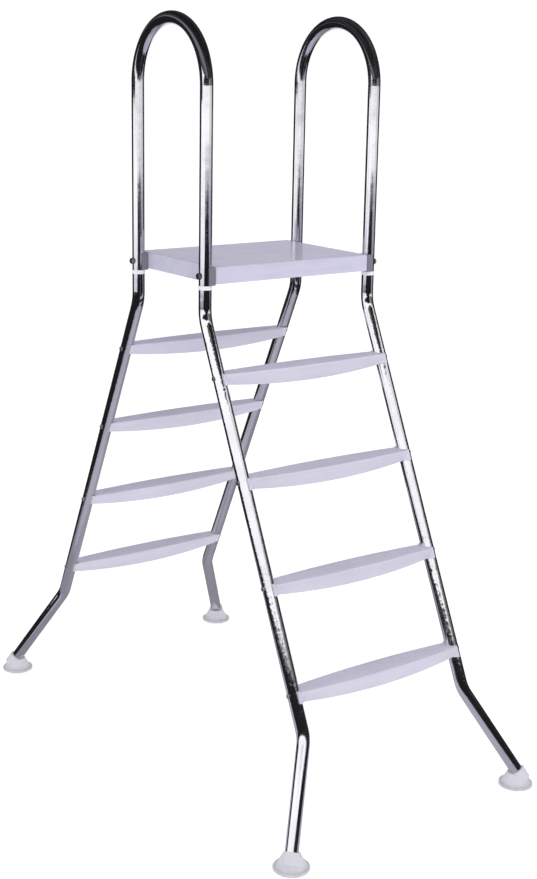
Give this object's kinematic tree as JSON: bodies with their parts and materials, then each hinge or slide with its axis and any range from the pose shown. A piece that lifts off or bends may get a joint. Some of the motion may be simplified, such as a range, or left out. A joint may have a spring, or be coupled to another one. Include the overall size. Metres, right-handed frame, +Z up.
{
  "type": "pool ladder",
  "caption": "Free-standing A-frame pool ladder: bent polished tubes, looped handrails, a white deck, boat-shaped treads on both sides and flared feet.",
  "frame": {"origin": "on the floor, at the centre of the ladder's footprint", "axes": "+Z up, +X to the right of a person who climbs the front flight, -Y towards the front flight's feet"},
  "size_m": [0.802, 1.446, 1.886],
  "materials": {
    "polished_tube": "polished stainless steel",
    "moulded_white": "smooth moulded, glossy",
    "ring_white": "smooth moulded",
    "saddle_grey": "smooth moulded",
    "foot_white": "satin, soft grade",
    "inner_steel": "drawn",
    "fastener_steel": "bright"
  },
  "bodies": {
    "root": {"handrail_hoop_left": "polished_tube", "handrail_hoop_right": "polished_tube", "leg_front_right": "polished_tube", "joint_spigot_front_right": "inner_steel", "joint_ring_front_right": "ring_white", "platform_saddle_front_right": "saddle_grey", "foot_front_right": "foot_white", "leg_front_left": "polished_tube", "joint_spigot_front_left": "inner_steel", "joint_ring_front_left": "ring_white", "platform_saddle_front_left": "saddle_grey", "foot_front_left": "foot_white", "leg_rear_right": "polished_tube", "joint_spigot_rear_right": "inner_steel", "joint_ring_rear_right": "ring_white", "platform_saddle_rear_right": "saddle_grey", "foot_rear_right": "foot_white", "leg_rear_left": "polished_tube", "joint_spigot_rear_left": "inner_steel", "joint_ring_rear_left": "ring_white", "platform_saddle_rear_left": "saddle_grey", "foot_rear_left": "foot_white", "platform_deck": "moulded_white", "platform_bolts": "fastener_steel", "platform_washers": "fastener_steel", "platform_nuts": "fastener_steel", "tread_screws": "fastener_steel", "tread_washers": "fastener_steel", "tread_nuts": "fastener_steel", "tread_front_1": "moulded_white", "tread_rear_1": "moulded_white", "tread_front_2": "moulded_white", "tread_rear_2": "moulded_white", "tread_front_3": "moulded_white", "tread_rear_3": "moulded_white", "tread_front_4": "moulded_white", "tread_rear_4": "moulded_white"}
  },
  "joints": []
}
